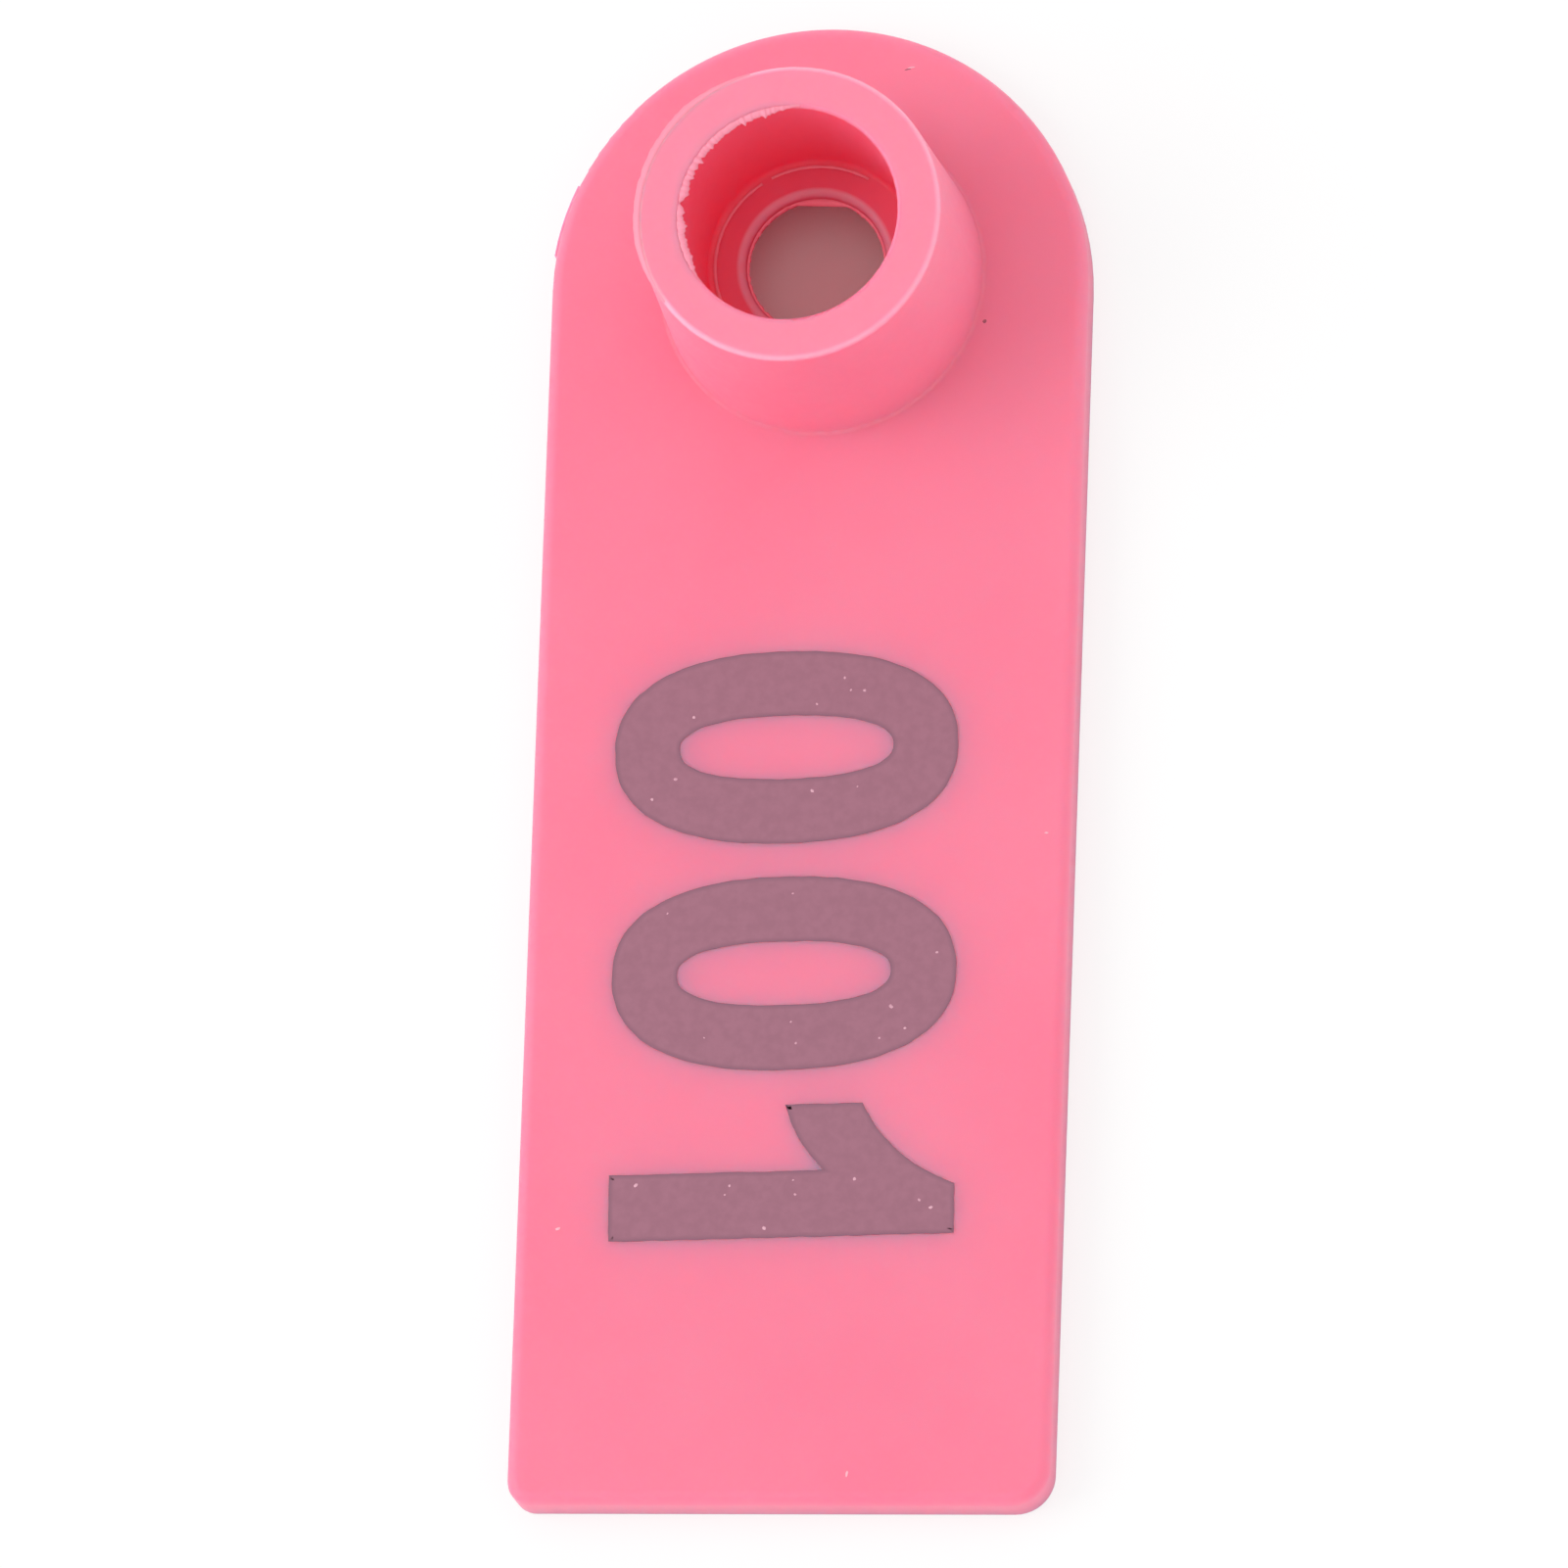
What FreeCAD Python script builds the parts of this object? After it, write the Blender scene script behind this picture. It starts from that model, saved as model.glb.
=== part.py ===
"""Socket half of a two-piece ear tag for sheep and goats.

One soft-plastic moulding: a flat plate with one round end, and a hollow
boss that stands on it near the round end. The pin of the other half comes
up through the flat back, passes a narrow throat and locks in the wide
socket above it.

Frame, in millimetres: the boss axis is Z, the flat back is z = 0, the boss
points to +Z and the plate's round end points to +Y.
"""
import FreeCAD, Part
import math
import os

Vector = FreeCAD.Vector
Z_AXIS = Vector(0, 0, 1)

# plate
PLATE_THICKNESS = 1.75
END_RADIUS = 9.06             # round end of the plate
END_CENTRE_X = -0.14          # its centre sits a little off the boss axis, as moulded
END_CENTRE_Y = -0.28
SQUARE_END_Y = -41.90
SQUARE_END_HALF_WIDTH = 9.00
LEFT_CORNER_RADIUS = 0.80
RIGHT_CORNER_RADIUS = 1.30
TOP_EDGE_RADIUS = 0.40
BACK_EDGE_RADIUS = 0.12

# boss, with its draft
BOSS_HEIGHT = 9.09            # rim above the back
BOSS_BASE_RADIUS = 5.40       # where it leaves the plate
BOSS_RIM_RADIUS = 5.07
BOSS_FOOT_BLEND = 0.15
RIM_EDGE_RADIUS = 0.20

# passage through the boss, from the mouth down to the back
SOCKET_RADIUS = 3.64
MOUTH_EDGE_RADIUS = 0.12
LEDGE_HEIGHT = 3.30           # floor of the wide socket
LEDGE_CORNER_BLEND = 0.20
THROAT_RADIUS = 2.34
THROAT_LIP_RADIUS = 0.30
THROAT_LAND = 0.35            # straight part of the throat, under its lip
FUNNEL_MOUTH_RADIUS = 3.40    # the entry flares out to this at the back

# trimmed gate, left of the round end
GATE_PROUD = 0.11
GATE_START_DEG = 156.0
GATE_SWEEP_DEG = 16.0
GATE_LOW = 0.25
GATE_HIGH = 1.25

OVERSHOOT = 1.0               # how far a cutting tool runs past the surface it opens


def end_point(angle_deg, radius=END_RADIUS):
    """Point on the round end, by its angle about the end's centre."""
    angle = math.radians(angle_deg)
    return Vector(END_CENTRE_X + radius * math.cos(angle),
                  END_CENTRE_Y + radius * math.sin(angle), 0)


def corner_arc(centre_x, centre_y, radius, start_deg):
    """Quarter-circle edge, anticlockwise from start_deg."""
    points = []
    for angle_deg in (start_deg, start_deg + 45, start_deg + 90):
        angle = math.radians(angle_deg)
        points.append(Vector(centre_x + radius * math.cos(angle),
                             centre_y + radius * math.sin(angle), 0))
    return Part.Arc(*points).toShape()


def plate_outline():
    """Closed outline: round end, two straight sides and a square end."""
    round_end = Part.Arc(end_point(0), end_point(90), end_point(180)).toShape()
    left_corner = corner_arc(-SQUARE_END_HALF_WIDTH + LEFT_CORNER_RADIUS,
                             SQUARE_END_Y + LEFT_CORNER_RADIUS, LEFT_CORNER_RADIUS, 180)
    right_corner = corner_arc(SQUARE_END_HALF_WIDTH - RIGHT_CORNER_RADIUS,
                              SQUARE_END_Y + RIGHT_CORNER_RADIUS, RIGHT_CORNER_RADIUS, 270)
    left_side = Part.makeLine(end_point(180), left_corner.firstVertex(True).Point)
    square_end = Part.makeLine(left_corner.lastVertex(True).Point,
                               right_corner.firstVertex(True).Point)
    right_side = Part.makeLine(right_corner.lastVertex(True).Point, end_point(0))
    return Part.Wire([round_end, left_side, left_corner, square_end, right_corner, right_side])


def edges_at_height(shape, height):
    """Edges that lie wholly in the plane z = height."""
    tolerance = 1e-6
    return [edge for edge in shape.Edges
            if abs(edge.BoundBox.ZMin - height) < tolerance
            and abs(edge.BoundBox.ZMax - height) < tolerance]


def circle_edges(shape, radius, height):
    """Full circles about the boss axis with this radius, at this height."""
    tolerance = 1e-4
    return [edge for edge in edges_at_height(shape, height)
            if isinstance(edge.Curve, Part.Circle)
            and abs(edge.Curve.Radius - radius) < tolerance
            and math.hypot(edge.Curve.Center.x, edge.Curve.Center.y) < tolerance]


def plate():
    """The flat plate with its rounded edges and the trimmed gate."""
    slab = Part.Face(plate_outline()).extrude(Z_AXIS * PLATE_THICKNESS)
    slab = slab.makeFillet(TOP_EDGE_RADIUS, edges_at_height(slab, PLATE_THICKNESS))
    slab = slab.makeFillet(BACK_EDGE_RADIUS, edges_at_height(slab, 0))
    return slab.fuse(gate())


def gate():
    """Flat left by the trimmed gate, just proud of the plate's edge."""
    sector = Part.makeCylinder(END_RADIUS + GATE_PROUD, GATE_HIGH - GATE_LOW,
                               Vector(0, 0, 0), Z_AXIS, GATE_SWEEP_DEG)
    sector.rotate(Vector(0, 0, 0), Z_AXIS, GATE_START_DEG)
    sector.translate(Vector(END_CENTRE_X, END_CENTRE_Y, GATE_LOW))
    return sector


def revolved(profile):
    """Solid made by turning (radius, height) points about the boss axis."""
    points = [Vector(radius, 0, height) for radius, height in profile]
    face = Part.Face(Part.makePolygon(points + points[:1]))
    return face.revolve(Vector(0, 0, 0), Z_AXIS, 360)


def boss():
    """Drafted boss, still solid."""
    return revolved([(0, 0), (BOSS_BASE_RADIUS, 0), (BOSS_BASE_RADIUS, PLATE_THICKNESS),
                     (BOSS_RIM_RADIUS, BOSS_HEIGHT), (0, BOSS_HEIGHT)])


def passage():
    """The space inside: funnel, throat and socket."""
    funnel_top = LEDGE_HEIGHT - THROAT_LIP_RADIUS - THROAT_LAND
    flare = (FUNNEL_MOUTH_RADIUS - THROAT_RADIUS) / funnel_top
    return revolved([(0, -OVERSHOOT),
                     (FUNNEL_MOUTH_RADIUS + flare * OVERSHOOT, -OVERSHOOT),
                     (THROAT_RADIUS, funnel_top),
                     (THROAT_RADIUS, LEDGE_HEIGHT),
                     (SOCKET_RADIUS, LEDGE_HEIGHT),
                     (SOCKET_RADIUS, BOSS_HEIGHT + OVERSHOOT),
                     (0, BOSS_HEIGHT + OVERSHOOT)])


def tag_body():
    """The whole moulding, with every edge that the mould rounds."""
    body = plate().fuse(boss()).removeSplitter().cut(passage())
    rounded_circles = [
        (BOSS_FOOT_BLEND, BOSS_BASE_RADIUS, PLATE_THICKNESS),
        (RIM_EDGE_RADIUS, BOSS_RIM_RADIUS, BOSS_HEIGHT),
        (MOUTH_EDGE_RADIUS, SOCKET_RADIUS, BOSS_HEIGHT),
        (LEDGE_CORNER_BLEND, SOCKET_RADIUS, LEDGE_HEIGHT),
        (THROAT_LIP_RADIUS, THROAT_RADIUS, LEDGE_HEIGHT),
    ]
    for blend, radius, height in rounded_circles:
        body = body.makeFillet(blend, circle_edges(body, radius, height))
    return body.Solids[0]


def write_parts():
    os.makedirs("parts", exist_ok=True)
    body = tag_body()
    body.exportStep("parts/tag_body.step")
    box = body.optimalBoundingBox(False, False)
    print("tag_body valid", body.isValid(), "volume mm3", round(body.Volume, 1))
    print("size mm", round(box.XLength, 2), round(box.YLength, 2), round(box.ZLength, 2))


write_parts()
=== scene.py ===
"""Looks of the socket half of a livestock ear tag: soft pink plastic, printed numbers, moulding flash."""
import math
import random

import bmesh
import bpy
from mathutils import Matrix, Vector, noise


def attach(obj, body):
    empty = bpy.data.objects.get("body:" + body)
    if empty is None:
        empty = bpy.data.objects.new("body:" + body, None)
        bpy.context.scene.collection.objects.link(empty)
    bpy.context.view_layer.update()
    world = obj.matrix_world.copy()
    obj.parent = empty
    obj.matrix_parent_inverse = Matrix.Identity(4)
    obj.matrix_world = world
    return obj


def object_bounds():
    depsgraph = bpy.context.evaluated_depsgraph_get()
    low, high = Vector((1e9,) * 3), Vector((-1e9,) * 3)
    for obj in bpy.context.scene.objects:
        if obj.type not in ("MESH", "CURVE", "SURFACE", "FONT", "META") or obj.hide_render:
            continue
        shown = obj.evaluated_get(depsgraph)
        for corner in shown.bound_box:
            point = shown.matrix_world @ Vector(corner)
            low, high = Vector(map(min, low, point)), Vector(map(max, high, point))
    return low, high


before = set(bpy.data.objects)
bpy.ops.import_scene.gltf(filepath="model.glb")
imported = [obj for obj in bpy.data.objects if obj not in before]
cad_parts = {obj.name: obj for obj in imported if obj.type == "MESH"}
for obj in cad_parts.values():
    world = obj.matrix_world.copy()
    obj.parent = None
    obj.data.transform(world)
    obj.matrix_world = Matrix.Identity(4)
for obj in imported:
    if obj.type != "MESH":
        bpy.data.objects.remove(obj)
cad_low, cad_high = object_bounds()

MM = 0.001

# sizes shared with the CAD part, in metres
PLATE_TOP = 1.75 * MM
BOSS_RIM_RADIUS = 5.07 * MM
RIM_EDGE_RADIUS = 0.20 * MM
SOCKET_RADIUS = 3.64 * MM
MOUTH_EDGE_RADIUS = 0.12 * MM
LEDGE_HEIGHT = 3.30 * MM
THROAT_RADIUS = 2.34 * MM
THROAT_LIP_RADIUS = 0.30 * MM
RIM_HEIGHT = cad_high.z

# camera: a long lens that looks down on the tag
SENSOR_WIDTH = 36.0
LENS = 375.96
CAMERA_PLACE = Vector((87.264, -157.877, 517.902)) * MM
CAMERA_BACK = Vector((0.16216, -0.25893, 0.95219)).normalized()
CAMERA_ROLL = math.radians(2.23)

# printed numbers
DIGIT_HEIGHT = 11.50 * MM
DIGIT_WIDTH = 6.58 * MM
COUNTER_HEIGHT = 7.17 * MM
COUNTER_WIDTH = 2.18 * MM
DIGIT_PITCH = 7.73 * MM
DIGIT_POWER = 2.35
PRINT_START = Vector((-0.60, -16.26, 0)) * MM     # middle of the first digit
PRINT_TILT = math.radians(1.5)
INK_SUNK = 0.006 * MM
INK_PROUD = 0.012 * MM
INK_EDGE = 0.16 * MM                              # darker line where ink piles up at an outline
INK_WOBBLE = 0.025 * MM
INK_SEED = 7                                      # the wobble is the same in every run

# the one: stem and flag, measured from the middle of its own cell
STEM_LEFT, STEM_RIGHT = -1.00 * MM, 1.24 * MM
FLAG_LEFT = -3.25 * MM
FLAG_TOP, FLAG_BOTTOM = 2.68 * MM, 0.10 * MM
FLAG_SHOULDER = -0.45 * MM                        # where the flag's upper curve leaves the top
FLAG_ROOT = 1.42 * MM                             # where its lower curve meets the stem
UPPER_BEND = Vector((-1.30, 3.55, 0)) * MM
LOWER_BEND = Vector((-1.95, 0.45, 0)) * MM

# one plastic of one pink; deeper down the bore as painted shade, paler on the rim, its edge and the lip as
# painted highlights
BORE_PAINTED_SHADE = (0.975, 0.125, 0.225)
LIP_PAINTED_HIGHLIGHT = (0.97, 0.34, 0.45)
RIM_PAINTED_HIGHLIGHT = (0.975, 0.265, 0.385)
RIM_EDGE_PAINTED_HIGHLIGHT = (0.975, 0.40, 0.52)

# gap that keeps the table clear of the tag's flat back
FLOOR_GAP = 0.02 * MM

# moulding flash and marks
FLASH_SKIN = 0.05 * MM                            # thickness of a flash skin at its tip
MOUTH_FLASH = (86, 219)                           # degrees round the boss axis
MOUTH_SWELL, MOUTH_FADE = (88, 217), 12
BITE_AT, BITE_SPREAD = 174, 2.0
TOOTH_AT, TOOTH_SPREAD = 167, 1.6
RIM_FLASH = (107, 217)
RIM_SWELL, RIM_FADE = (108, 216), 25
CHORD_MIDDLE, CHORD_HALF = 88, 26                 # flat cut across the throat
LEDGE_BEADS = [(60, 118), (124, 205)]
SPECKS_PER_DIGIT = 9

# table and light
WHITE_LIFT = 0.75                                 # how far the open table is lifted to white for the camera
HOLE_EDGE, TABLE_EDGE = 4.2 * MM, 5.0 * MM        # the lift grows from nothing between these radii
WORLD_STRENGTH = 0.93


def material(name):
    """New material with its node tree and its shader."""
    made = bpy.data.materials.new(name)
    made.use_nodes = True
    tree = made.node_tree
    return made, tree, tree.nodes["Principled BSDF"]


def node(tree, kind, **values):
    """Adds a node and sets its inputs by name, with underscores for spaces."""
    made = tree.nodes.new(kind)
    for key, value in values.items():
        made.inputs[key.replace("_", " ")].default_value = value
    return made


def noise_on(tree, scale, detail):
    """Noise in the piece's own coordinates."""
    place = tree.nodes.new("ShaderNodeTexCoord").outputs["Object"]
    made = node(tree, "ShaderNodeTexNoise", Scale=scale, Detail=detail)
    tree.links.new(place, made.inputs["Vector"])
    return made.outputs["Fac"]


def ramp_on(tree, value, low, high):
    """Colour that runs from low to high over the middle of a noise value."""
    made = tree.nodes.new("ShaderNodeValToRGB")
    made.color_ramp.elements[0].position, made.color_ramp.elements[1].position = 0.35, 0.65
    made.color_ramp.elements[0].color = (*low, 1)
    made.color_ramp.elements[1].color = (*high, 1)
    tree.links.new(value, made.inputs["Fac"])
    return made.outputs["Color"]


def range_on(tree, value, low, high):
    """Noise value spread over low to high."""
    made = node(tree, "ShaderNodeMapRange", To_Min=low, To_Max=high)
    tree.links.new(value, made.inputs["Value"])
    return made.outputs["Result"]


def bump_on(tree, value, strength, distance):
    """Normals of a fine relief."""
    made = node(tree, "ShaderNodeBump", Strength=strength, Distance=distance)
    tree.links.new(value, made.inputs["Height"])
    return made.outputs["Normal"]


def translucent(shader):
    """Soft plastic that lets red light through its walls."""
    shader.inputs["Subsurface Weight"].default_value = 1.0
    shader.inputs["Subsurface Radius"].default_value = (1.0, 0.16, 0.22)
    shader.inputs["Subsurface Scale"].default_value = 0.0020
    shader.inputs["IOR"].default_value = 1.45


def between(tree, value, low, high, blur):
    """One while value lies between low and high, fading over blur at both ends."""
    rise = node(tree, "ShaderNodeMapRange", From_Min=low - blur, From_Max=low + blur)
    fall = node(tree, "ShaderNodeMapRange", From_Min=high + blur, From_Max=high - blur)
    both = tree.nodes.new("ShaderNodeMath")
    both.operation = "MULTIPLY"
    for i, edge in enumerate((rise, fall)):
        tree.links.new(value, edge.inputs["Value"])
        tree.links.new(edge.outputs["Result"], both.inputs[i])
    return both.outputs[0]


def painted_light_ring(tree, colour, radii, heights, painted_colour, blur=0.00006):
    """The colour, changed to a painted shade or painted highlight in a ring round the boss axis."""
    split = tree.nodes.new("ShaderNodeSeparateXYZ")
    flat = tree.nodes.new("ShaderNodeCombineXYZ")
    reach = tree.nodes.new("ShaderNodeVectorMath")
    reach.operation = "LENGTH"
    link = tree.links.new
    link(tree.nodes.new("ShaderNodeTexCoord").outputs["Object"], split.inputs[0])
    link(split.outputs["X"], flat.inputs["X"])
    link(split.outputs["Y"], flat.inputs["Y"])
    link(flat.outputs[0], reach.inputs[0])
    ring = tree.nodes.new("ShaderNodeMath")
    ring.operation = "MULTIPLY"
    link(between(tree, reach.outputs["Value"], *radii, blur), ring.inputs[0])
    link(between(tree, split.outputs["Z"], *heights, blur), ring.inputs[1])
    mix = tree.nodes.new("ShaderNodeMix")
    mix.data_type = "RGBA"
    link(ring.outputs[0], mix.inputs["Factor"])
    link(colour, mix.inputs["A"])
    mix.inputs["B"].default_value = (*painted_colour, 1)
    return mix.outputs["Result"]


def pink_plastic(name="pink_plastic", low=(0.965, 0.215, 0.335), high=(0.975, 0.235, 0.355),
                 soft=True):
    made, tree, shader = material(name)
    link = tree.links.new
    broad = noise_on(tree, 130.0, 3.0)
    fine = noise_on(tree, 2600.0, 4.0)
    colour = ramp_on(tree, broad, low, high)
    if soft:
        # painted shade: the whole bore is made a deeper pink
        colour = painted_light_ring(tree, colour, (-1, 3.70 * MM), (0, 8.93 * MM), BORE_PAINTED_SHADE)
        # painted highlights: the throat lip, the rim top and the rim's rounded edge are made paler
        colour = painted_light_ring(tree, colour, (2.36 * MM, 2.62 * MM), (3.12 * MM, 3.4 * MM), LIP_PAINTED_HIGHLIGHT)
        colour = painted_light_ring(tree, colour, (3.76 * MM, 4.90 * MM), (9.0 * MM, 9.3 * MM), RIM_PAINTED_HIGHLIGHT)
        colour = painted_light_ring(tree, colour, (4.93 * MM, 5.10 * MM), (8.95 * MM, 9.3 * MM), RIM_EDGE_PAINTED_HIGHLIGHT)
    link(colour, shader.inputs["Base Color"])
    link(range_on(tree, fine, 0.40, 0.55), shader.inputs["Roughness"])
    link(bump_on(tree, fine, 0.10, 0.00005), shader.inputs["Normal"])
    if soft:
        translucent(shader)
    return made


def ink():
    """Print ink: fine mottle, darker where the edge attribute is one."""
    made, tree, shader = material("ink")
    link = tree.links.new
    mottle = noise_on(tree, 3200.0, 3.0)
    plain = ramp_on(tree, mottle, (0.305, 0.122, 0.173), (0.333, 0.135, 0.190))
    edge = tree.nodes.new("ShaderNodeAttribute")
    edge.attribute_name = "edge"
    mix = tree.nodes.new("ShaderNodeMix")
    mix.data_type = "RGBA"
    link(edge.outputs["Fac"], mix.inputs["Factor"])
    link(plain, mix.inputs["A"])
    mix.inputs["B"].default_value = (0.240, 0.100, 0.148, 1)
    link(mix.outputs["Result"], shader.inputs["Base Color"])
    link(range_on(tree, mottle, 0.50, 0.65), shader.inputs["Roughness"])
    link(bump_on(tree, mottle, 0.15, 0.00003), shader.inputs["Normal"])
    shader.inputs["Specular IOR Level"].default_value = 0.4
    return made


def speck_finish(name, low, high):
    made, tree, shader = material(name)
    tree.links.new(ramp_on(tree, noise_on(tree, 5000.0, 2.0), low, high), shader.inputs["Base Color"])
    shader.inputs["Roughness"].default_value = 0.6
    return made


def add_piece(name, mesh_maker, finish, smooth=False):
    """Object from a bmesh, with its material, riding on the root body."""
    bmesh.ops.recalc_face_normals(mesh_maker, faces=mesh_maker.faces)
    for face in mesh_maker.faces:
        face.smooth = smooth
    mesh = bpy.data.meshes.new(name)
    mesh_maker.to_mesh(mesh)
    mesh_maker.free()
    piece = bpy.data.objects.new(name, mesh)
    bpy.context.scene.collection.objects.link(piece)
    mesh.materials.append(finish)
    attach(piece, "root")
    return piece


def superellipse(half_width, half_height, count=200):
    """Points round a superellipse, anticlockwise."""
    points = []
    for i in range(count):
        angle = 2 * math.pi * i / count
        c, s = math.cos(angle), math.sin(angle)
        points.append(Vector((math.copysign(abs(c) ** (2 / DIGIT_POWER), c) * half_width,
                              math.copysign(abs(s) ** (2 / DIGIT_POWER), s) * half_height, 0)))
    return points


def line(start, end, step=0.12 * MM):
    """Evenly spaced points from start up to, not including, end."""
    count = max(1, round((end - start).length / step))
    return [start.lerp(end, i / count) for i in range(count)]


def curve(start, middle, end, count=24):
    """Points of a quadratic curve from start up to, not including, end."""
    points = []
    for i in range(count):
        t = i / count
        points.append(start * (1 - t) ** 2 + middle * (2 * t * (1 - t)) + end * t ** 2)
    return points


def one_outline():
    """The one, anticlockwise: a stem with a curved flag on its left."""
    top, bottom = DIGIT_HEIGHT / 2, -DIGIT_HEIGHT / 2
    places = [(STEM_LEFT, bottom), (STEM_RIGHT, bottom), (STEM_RIGHT, top), (FLAG_SHOULDER, top),
              (FLAG_LEFT, FLAG_TOP), (FLAG_LEFT, FLAG_BOTTOM), (STEM_LEFT, FLAG_ROOT)]
    corners = [Vector((x, y, 0)) for x, y in places]
    points = line(corners[0], corners[1]) + line(corners[1], corners[2]) + line(corners[2], corners[3])
    points += curve(corners[3], UPPER_BEND, corners[4]) + line(corners[4], corners[5])
    points += curve(corners[5], LOWER_BEND, corners[6]) + line(corners[6], corners[0])
    return points


def inset(points, amount):
    """The outline moved to its left by amount, along the mean of its two side normals."""
    moved = []
    for i, point in enumerate(points):
        before = (point - points[i - 1]).normalized()
        after = (points[(i + 1) % len(points)] - point).normalized()
        side = Vector((-before.y - after.y, before.x + after.x, 0)).normalized()
        bend = max(0.5, side.dot(Vector((-before.y, before.x, 0))))
        moved.append(point + side * amount / bend)
    return moved


def print_frame(index):
    """Matrix from a digit's own axes (x to its right, y to its top) to the plate."""
    turn = Matrix.Rotation(-math.pi / 2 + PRINT_TILT, 4, "Z")
    along = turn @ Vector((DIGIT_PITCH * index, 0, 0))
    return Matrix.Translation(PRINT_START + along + Vector((0, 0, PLATE_TOP))) @ turn


def wobbled(point, seed):
    """Point moved a little, as the edge of a print wanders."""
    drift = noise.noise_vector(point / (0.5 * MM) + Vector((seed, 0, 0)))
    return point + Vector((drift.x, drift.y, 0)) * INK_WOBBLE


def loop_of(bm, points, height, edge_layer, edge):
    made = []
    for point in points:
        vert = bm.verts.new(Vector((point.x, point.y, height)))
        vert[edge_layer] = edge
        made.append(vert)
    return made


def bridge(bm, first, second):
    """Quads between two loops that have the same count."""
    count = len(first)
    for i in range(count):
        j = (i + 1) % count
        bm.faces.new((first[i], first[j], second[j], second[i]))


def ink_outline(bm, layer, points, side, seed):
    """Wall, dark edge strip and inner loop of one ink outline; returns the inner loop."""
    points = [wobbled(point, seed) for point in points]
    foot = loop_of(bm, points, -INK_SUNK, layer, 1.0)
    brink = loop_of(bm, points, INK_PROUD, layer, 1.0)
    inner = loop_of(bm, inset(points, side * INK_EDGE), INK_PROUD, layer, 0.0)
    bridge(bm, foot, brink)
    bridge(bm, brink, inner)
    return inner


def fill(bm, loops):
    """Flat triangles between closed loops of vertices."""
    edges = []
    for loop in loops:
        for i, vert in enumerate(loop):
            edges.append(bm.edges.get((vert, loop[i - 1])))
    bmesh.ops.triangle_fill(bm, edges=edges, use_beauty=True)


def digit(index, outlines, finish):
    """One printed digit from its outlines, each with the side its ink lies on."""
    bm = bmesh.new()
    layer = bm.verts.layers.float.new("edge")
    loops = [ink_outline(bm, layer, points, side, 7.0 * index) for points, side in outlines]
    fill(bm, loops)
    bmesh.ops.transform(bm, matrix=print_frame(index), verts=bm.verts)
    return add_piece(f"printed_digit_{index + 1}", bm, finish)


def printed_numbers():
    noise.seed_set(INK_SEED)
    finish = ink()
    ring = [(superellipse(DIGIT_WIDTH / 2, DIGIT_HEIGHT / 2), 1),
            (superellipse(COUNTER_WIDTH / 2, COUNTER_HEIGHT / 2), -1)]
    digit(0, ring, finish)
    digit(1, ring, finish)
    digit(2, [(one_outline(), 1)], finish)


def swept(name, degrees, section, finish):
    """Thin moulded sliver: a closed section of (radius, height) swept over the given angles."""
    bm = bmesh.new()
    rows = []
    for angle in degrees:
        a = math.radians(angle)
        rows.append([bm.verts.new((r * math.cos(a), r * math.sin(a), z)) for r, z in section(angle)])
    for first, second in zip(rows, rows[1:]):
        bridge(bm, first, second)
    bm.faces.new(rows[0])
    bm.faces.new(rows[-1])
    return add_piece(name, bm, finish, smooth=True)


def steps(start, end, step=0.5):
    """Angles from start to end in degrees."""
    return [start + step * i for i in range(round((end - start) / step) + 1)]


def swell(angle, start, end, fade):
    """One between start and end, falling to nothing over fade at both ends."""
    inside = min(angle - start, end - angle) / fade
    return max(0.0, min(1.0, inside))


def ragged(angle, seed, scale=0.35):
    """Noise from 0 to 1 round the axis."""
    return 0.5 + 0.5 * noise.noise(Vector((angle * scale, seed, 0.0)))


def mouth_section(angle):
    """Flash skin that leans into the socket mouth."""
    reach = (0.02 + 0.18 * ragged(angle, 3.0, 0.12) + 0.26 * ragged(angle, 5.0, 0.5) ** 2) * MM
    bite = math.exp(-((angle - BITE_AT) / BITE_SPREAD) ** 2)
    tooth = math.exp(-((angle - TOOTH_AT) / TOOTH_SPREAD) ** 2)
    reach = (reach * (1 - bite) + 0.08 * MM * tooth) * swell(angle, *MOUTH_SWELL, MOUTH_FADE)
    root = SOCKET_RADIUS + MOUTH_EDGE_RADIUS
    tip = SOCKET_RADIUS + 0.02 * MM - reach
    return [(root + 0.10 * MM, RIM_HEIGHT - 0.004 * MM), (tip, RIM_HEIGHT - 0.03 * MM),
            (tip, RIM_HEIGHT - 0.03 * MM - FLASH_SKIN), (SOCKET_RADIUS + 0.04 * MM, RIM_HEIGHT - 0.22 * MM)]


def rim_section(angle):
    """Flash skin that stands off the outer rim."""
    reach = (0.10 + 0.08 * ragged(angle, 8.0, 0.3)) * MM * swell(angle, *RIM_SWELL, RIM_FADE)
    root = BOSS_RIM_RADIUS - RIM_EDGE_RADIUS
    tip = BOSS_RIM_RADIUS - 0.02 * MM + reach
    top = RIM_HEIGHT - 0.05 * MM
    return [(root - 0.02 * MM, RIM_HEIGHT - 0.003 * MM), (tip, top), (tip, top - FLASH_SKIN),
            (BOSS_RIM_RADIUS - 0.06 * MM, top - 0.18 * MM)]


def throat_section(angle):
    """Flash at the throat: mostly a thin ragged skin, cut straight across its far side."""
    reach = (0.03 + 0.09 * ragged(angle, 12.0, 0.25)) * MM
    off_chord = abs((angle - CHORD_MIDDLE + 180) % 360 - 180)
    if off_chord < CHORD_HALF:
        chord = THROAT_RADIUS * math.cos(math.radians(CHORD_HALF)) / math.cos(math.radians(off_chord))
        reach = max(reach, THROAT_RADIUS - chord)
    top = LEDGE_HEIGHT - THROAT_LIP_RADIUS - 0.02 * MM
    return [(THROAT_RADIUS + 0.03 * MM, top + 0.06 * MM), (THROAT_RADIUS - reach, top),
            (THROAT_RADIUS - reach, top - FLASH_SKIN), (THROAT_RADIUS + 0.03 * MM, top - 0.20 * MM)]


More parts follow.
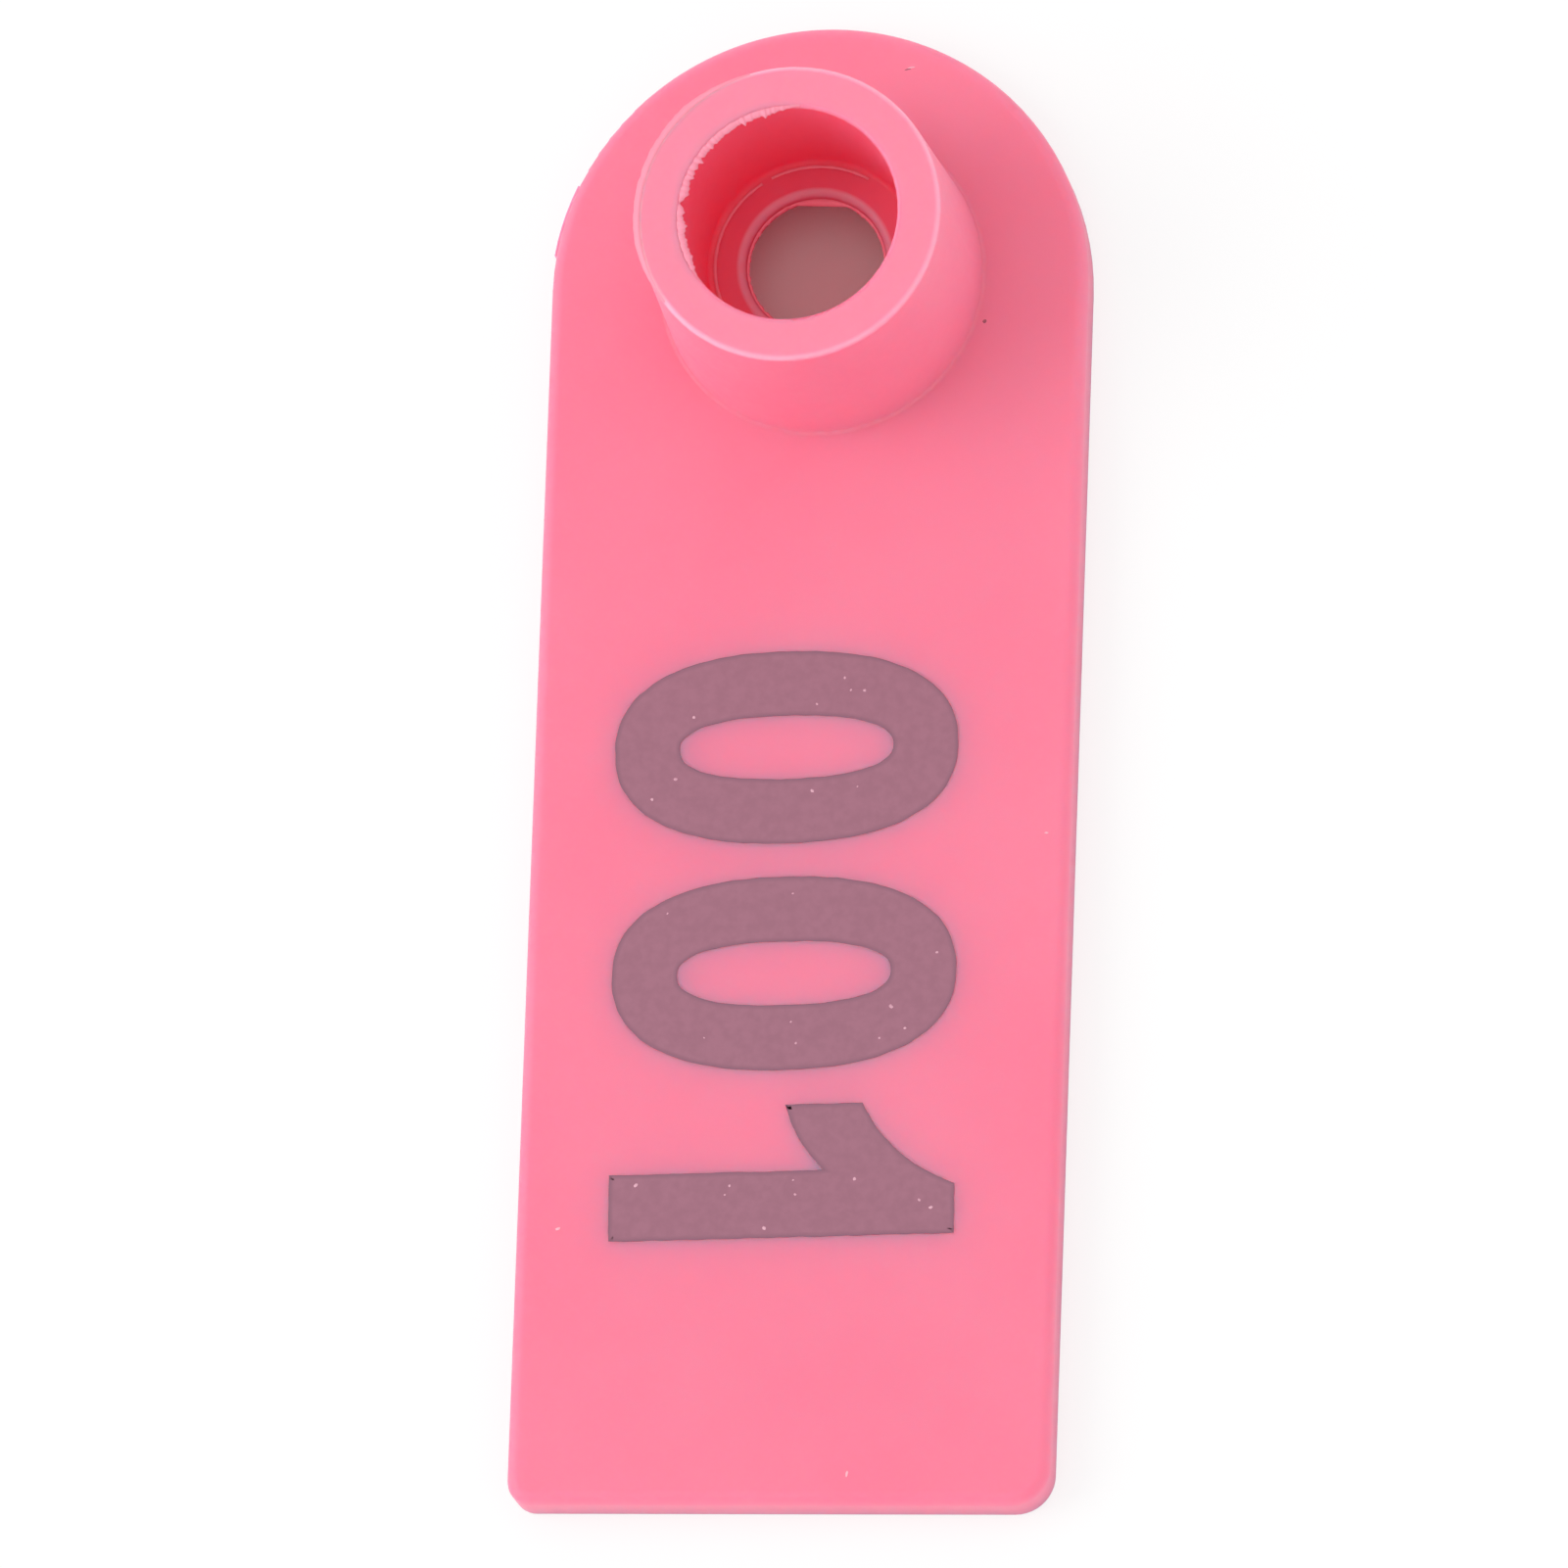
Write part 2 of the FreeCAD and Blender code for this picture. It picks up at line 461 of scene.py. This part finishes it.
def bead_section(angle):
    """Fine witness bead in the corner between the bore and its ledge."""
    size = (0.035 + 0.045 * ragged(angle, 20.0, 0.2)) * MM
    middle = SOCKET_RADIUS - 0.26 * MM
    return [(middle + size, LEDGE_HEIGHT - 0.01 * MM), (middle + size * 0.6, LEDGE_HEIGHT + size * 0.7),
            (middle - size * 0.6, LEDGE_HEIGHT + size * 0.7), (middle - size, LEDGE_HEIGHT - 0.01 * MM)]


def flash():
    finish = pink_plastic("pink_flash", (0.96, 0.27, 0.38), (0.97, 0.31, 0.42), soft=False)
    swept("mouth_flash", steps(*MOUTH_FLASH), mouth_section, finish)
    swept("rim_flash", steps(*RIM_FLASH), rim_section, finish)
    swept("throat_flash", steps(0, 359.5), throat_section, finish)
    for i, bead in enumerate(LEDGE_BEADS):
        swept(f"ledge_bead_{i + 1}", steps(*bead), bead_section, finish)


def blob(bm, place, width, length, turn, height, bumps):
    """Low ragged mound on a surface that faces up."""
    count = 12
    top = bm.verts.new(place + Vector((0, 0, height)))
    ring = []
    for i in range(count):
        angle = 2 * math.pi * i / count
        far = 1 + 0.3 * (bumps.random() - 0.5)
        x, y = math.cos(angle) * length / 2 * far, math.sin(angle) * width / 2 * far
        spot = Vector((x * math.cos(turn) - y * math.sin(turn), x * math.sin(turn) + y * math.cos(turn), 0))
        ring.append(bm.verts.new(place + spot - Vector((0, 0, 0.004 * MM))))
    for i in range(count):
        bm.faces.new((ring[i - 1], ring[i], top))
    bm.faces.new(list(reversed(ring)))


def ink_specks():
    """Pinholes and dust caught in the print."""
    dice = random.Random(41)
    bm = bmesh.new()
    for index in range(3):
        put = 0
        while put < SPECKS_PER_DIGIT:
            across, up = dice.uniform(-1, 1), dice.uniform(-1, 1)
            x, y = across * DIGIT_WIDTH / 2, up * DIGIT_HEIGHT / 2
            in_ring = abs(across) ** DIGIT_POWER + abs(up) ** DIGIT_POWER < 0.8
            in_ring = in_ring and (abs(x) * 2 / COUNTER_WIDTH) ** 2 + (abs(y) * 2 / COUNTER_HEIGHT) ** 2 > 1.5
            in_stem = STEM_LEFT * 0.8 < x < STEM_RIGHT * 0.8
            if not (in_stem if index == 2 else in_ring):
                continue
            place = print_frame(index) @ Vector((x, y, INK_PROUD))
            size = dice.uniform(0.06, 0.15) * MM
            blob(bm, place, size, size * dice.uniform(1, 1.5), dice.uniform(0, 3.14), 0.012 * MM, dice)
            put += 1
    add_piece("print_specks", bm, speck_finish("pale_specks", (0.60, 0.30, 0.38), (0.72, 0.40, 0.48)))


# marks on the plate in mm: across, along, width, length, turn in degrees
PALE_MARKS = [(-7.61, -32.66, 0.10, 0.22, 20), (2.33, -40.91, 0.10, 0.28, 80), (8.20, -19.23, 0.08, 0.16, 0),
              (2.73, 7.30, 0.06, 0.34, 10)]
DARK_MARKS = [(5.525, -1.592, 0.14, 0.18, 30), (2.62, 7.24, 0.05, 0.30, 12)]


def plate_marks(name, marks, finish):
    dice = random.Random(5)
    bm = bmesh.new()
    for across, along, width, length, turn in marks:
        place = Vector((across * MM, along * MM, PLATE_TOP))
        blob(bm, place, width * MM, length * MM, math.radians(turn), 0.015 * MM, dice)
    add_piece(name, bm, finish)


def look_matrix(place, back, roll):
    """Camera matrix with the plate's length up the picture, then rolled."""
    right = Vector((0, 1, 0)).cross(back).normalized()
    up = back.cross(right)
    turn = Matrix((right, up, back)).transposed().to_4x4()
    return Matrix.Translation(place) @ turn @ Matrix.Rotation(roll, 4, "Z")


def camera():
    data = bpy.data.cameras.new("camera")
    data.sensor_width = SENSOR_WIDTH
    data.lens = LENS
    data.clip_start, data.clip_end = 0.01, 5.0
    made = bpy.data.objects.new("camera", data)
    bpy.context.scene.collection.objects.link(made)
    made.matrix_world = look_matrix(CAMERA_PLACE, CAMERA_BACK, CAMERA_ROLL)
    bpy.context.scene.camera = made


def area_light(name, place, size, power):
    """Soft round lamp aimed at the tag."""
    data = bpy.data.lights.new(name, "AREA")
    data.shape, data.size = "DISK", size
    data.energy = power
    made = bpy.data.objects.new(name, data)
    bpy.context.scene.collection.objects.link(made)
    made.location = place
    made.rotation_mode = "QUATERNION"
    made.rotation_quaternion = (Vector((0, -0.015, 0)) - place).to_track_quat("-Z", "Y")
    made.visible_camera = False


def floor():
    """White table; away from the socket it is lifted towards white for the camera."""
    bm = bmesh.new()
    bmesh.ops.create_grid(bm, x_segments=1, y_segments=1, size=1.5)
    mesh = bpy.data.meshes.new("floor")
    bm.to_mesh(mesh)
    bm.free()
    made = bpy.data.objects.new("floor", mesh)
    bpy.context.scene.collection.objects.link(made)
    finish, tree, shader = material("white_table")
    shader.inputs["Base Color"].default_value = (0.93, 0.93, 0.93, 1)
    shader.inputs["Roughness"].default_value = 0.9
    shader.inputs["Specular IOR Level"].default_value = 0.0
    link = tree.links.new
    reach = tree.nodes.new("ShaderNodeVectorMath")
    reach.operation = "LENGTH"
    link(tree.nodes.new("ShaderNodeTexCoord").outputs["Object"], reach.inputs[0])
    outside = node(tree, "ShaderNodeMapRange", From_Min=HOLE_EDGE, From_Max=TABLE_EDGE,
                   To_Min=0.0, To_Max=WHITE_LIFT)
    link(reach.outputs["Value"], outside.inputs["Value"])
    seen = tree.nodes.new("ShaderNodeMath")
    seen.operation = "MULTIPLY"
    link(outside.outputs["Result"], seen.inputs[0])
    link(tree.nodes.new("ShaderNodeLightPath").outputs["Is Camera Ray"], seen.inputs[1])
    white = node(tree, "ShaderNodeEmission", Color=(1, 1, 1, 1), Strength=1.0)
    mix = tree.nodes.new("ShaderNodeMixShader")
    link(seen.outputs[0], mix.inputs[0])
    link(shader.outputs[0], mix.inputs[1])
    link(white.outputs[0], mix.inputs[2])
    # clear from below, so that the back of the tag can be looked at
    below = tree.nodes.new("ShaderNodeMixShader")
    link(tree.nodes.new("ShaderNodeNewGeometry").outputs["Backfacing"], below.inputs[0])
    link(mix.outputs[0], below.inputs[1])
    link(tree.nodes.new("ShaderNodeBsdfTransparent").outputs[0], below.inputs[2])
    link(below.outputs[0], tree.nodes["Material Output"].inputs["Surface"])
    mesh.materials.append(finish)
    made.location.z = -FLOOR_GAP


def lights():
    world = bpy.data.worlds.new("world")
    bpy.context.scene.world = world
    world.use_nodes = True
    world.node_tree.nodes["Background"].inputs["Color"].default_value = (1, 1, 1, 1)
    world.node_tree.nodes["Background"].inputs["Strength"].default_value = WORLD_STRENGTH
    area_light("left", Vector((-0.45, -0.05, 0.40)), 0.45, 1.35)


def main():
    bpy.context.scene.view_settings.view_transform = "Standard"
    camera()
    floor()
    lights()
    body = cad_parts["tag_body"]
    body.data.materials.clear()
    body.data.materials.append(pink_plastic())
    printed_numbers()
    flash()
    ink_specks()
    plate_marks("pale_marks", PALE_MARKS, speck_finish("pale_scuffs", (0.95, 0.45, 0.55), (0.97, 0.55, 0.65)))
    plate_marks("dark_marks", DARK_MARKS, speck_finish("dark_dirt", (0.30, 0.08, 0.11), (0.42, 0.12, 0.16)))


main()
